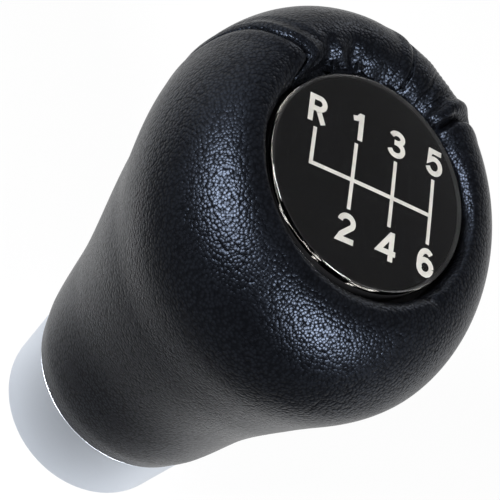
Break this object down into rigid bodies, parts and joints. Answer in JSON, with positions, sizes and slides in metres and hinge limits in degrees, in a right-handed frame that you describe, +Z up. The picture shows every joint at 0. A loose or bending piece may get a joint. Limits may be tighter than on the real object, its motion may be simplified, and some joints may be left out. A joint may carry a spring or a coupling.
{
  "type": "gear shift knob",
  "caption": "Leather covered gear shift knob with a satin metal collar and a round, tilted shift pattern dial; pushes onto a round gear lever.",
  "frame": {"origin": "centre of the ring that the collar's foot stands on", "axes": "+Z up the grip from the collar to the dial, along the gear lever; +X to the right of the shift pattern; +Y away from the driver"},
  "size_m": [0.053, 0.0605, 0.085],
  "materials": {
    "satin_aluminium": "fine satin blasted and anodised, cool light grey",
    "black_plastic": "fine moulded matt",
    "zinc_steel": "zinc plated",
    "natural_nylon": "natural moulded nylon",
    "spring_steel": "oiled spring steel",
    "black_rubber": "moulded matt",
    "grey_plastic": "moulded matt",
    "grey_foam": "moulded skin foam",
    "black_leather": "fine pebbled grain with a satin sheen, bluish black",
    "adhesive_tape": "double sided tape",
    "printed_black": "gloss black with an off-white shift pattern",
    "clear_resin": "clear domed resin"
  },
  "bodies": {
    "root": {"collar": "satin_aluminium", "collar_carrier": "black_plastic", "carrier_screws": "zinc_steel", "lever_socket": "natural_nylon", "socket_spring": "spring_steel", "end_pad": "black_rubber", "core_left": "grey_plastic", "core_right": "grey_plastic", "core_screws": "zinc_steel", "padding": "grey_foam", "leather_front": "black_leather", "leather_back": "black_leather", "dial_cup": "black_plastic", "dial_tape": "adhesive_tape", "dial_plate": "printed_black", "dial_dome": "clear_resin"}
  },
  "joints": []
}
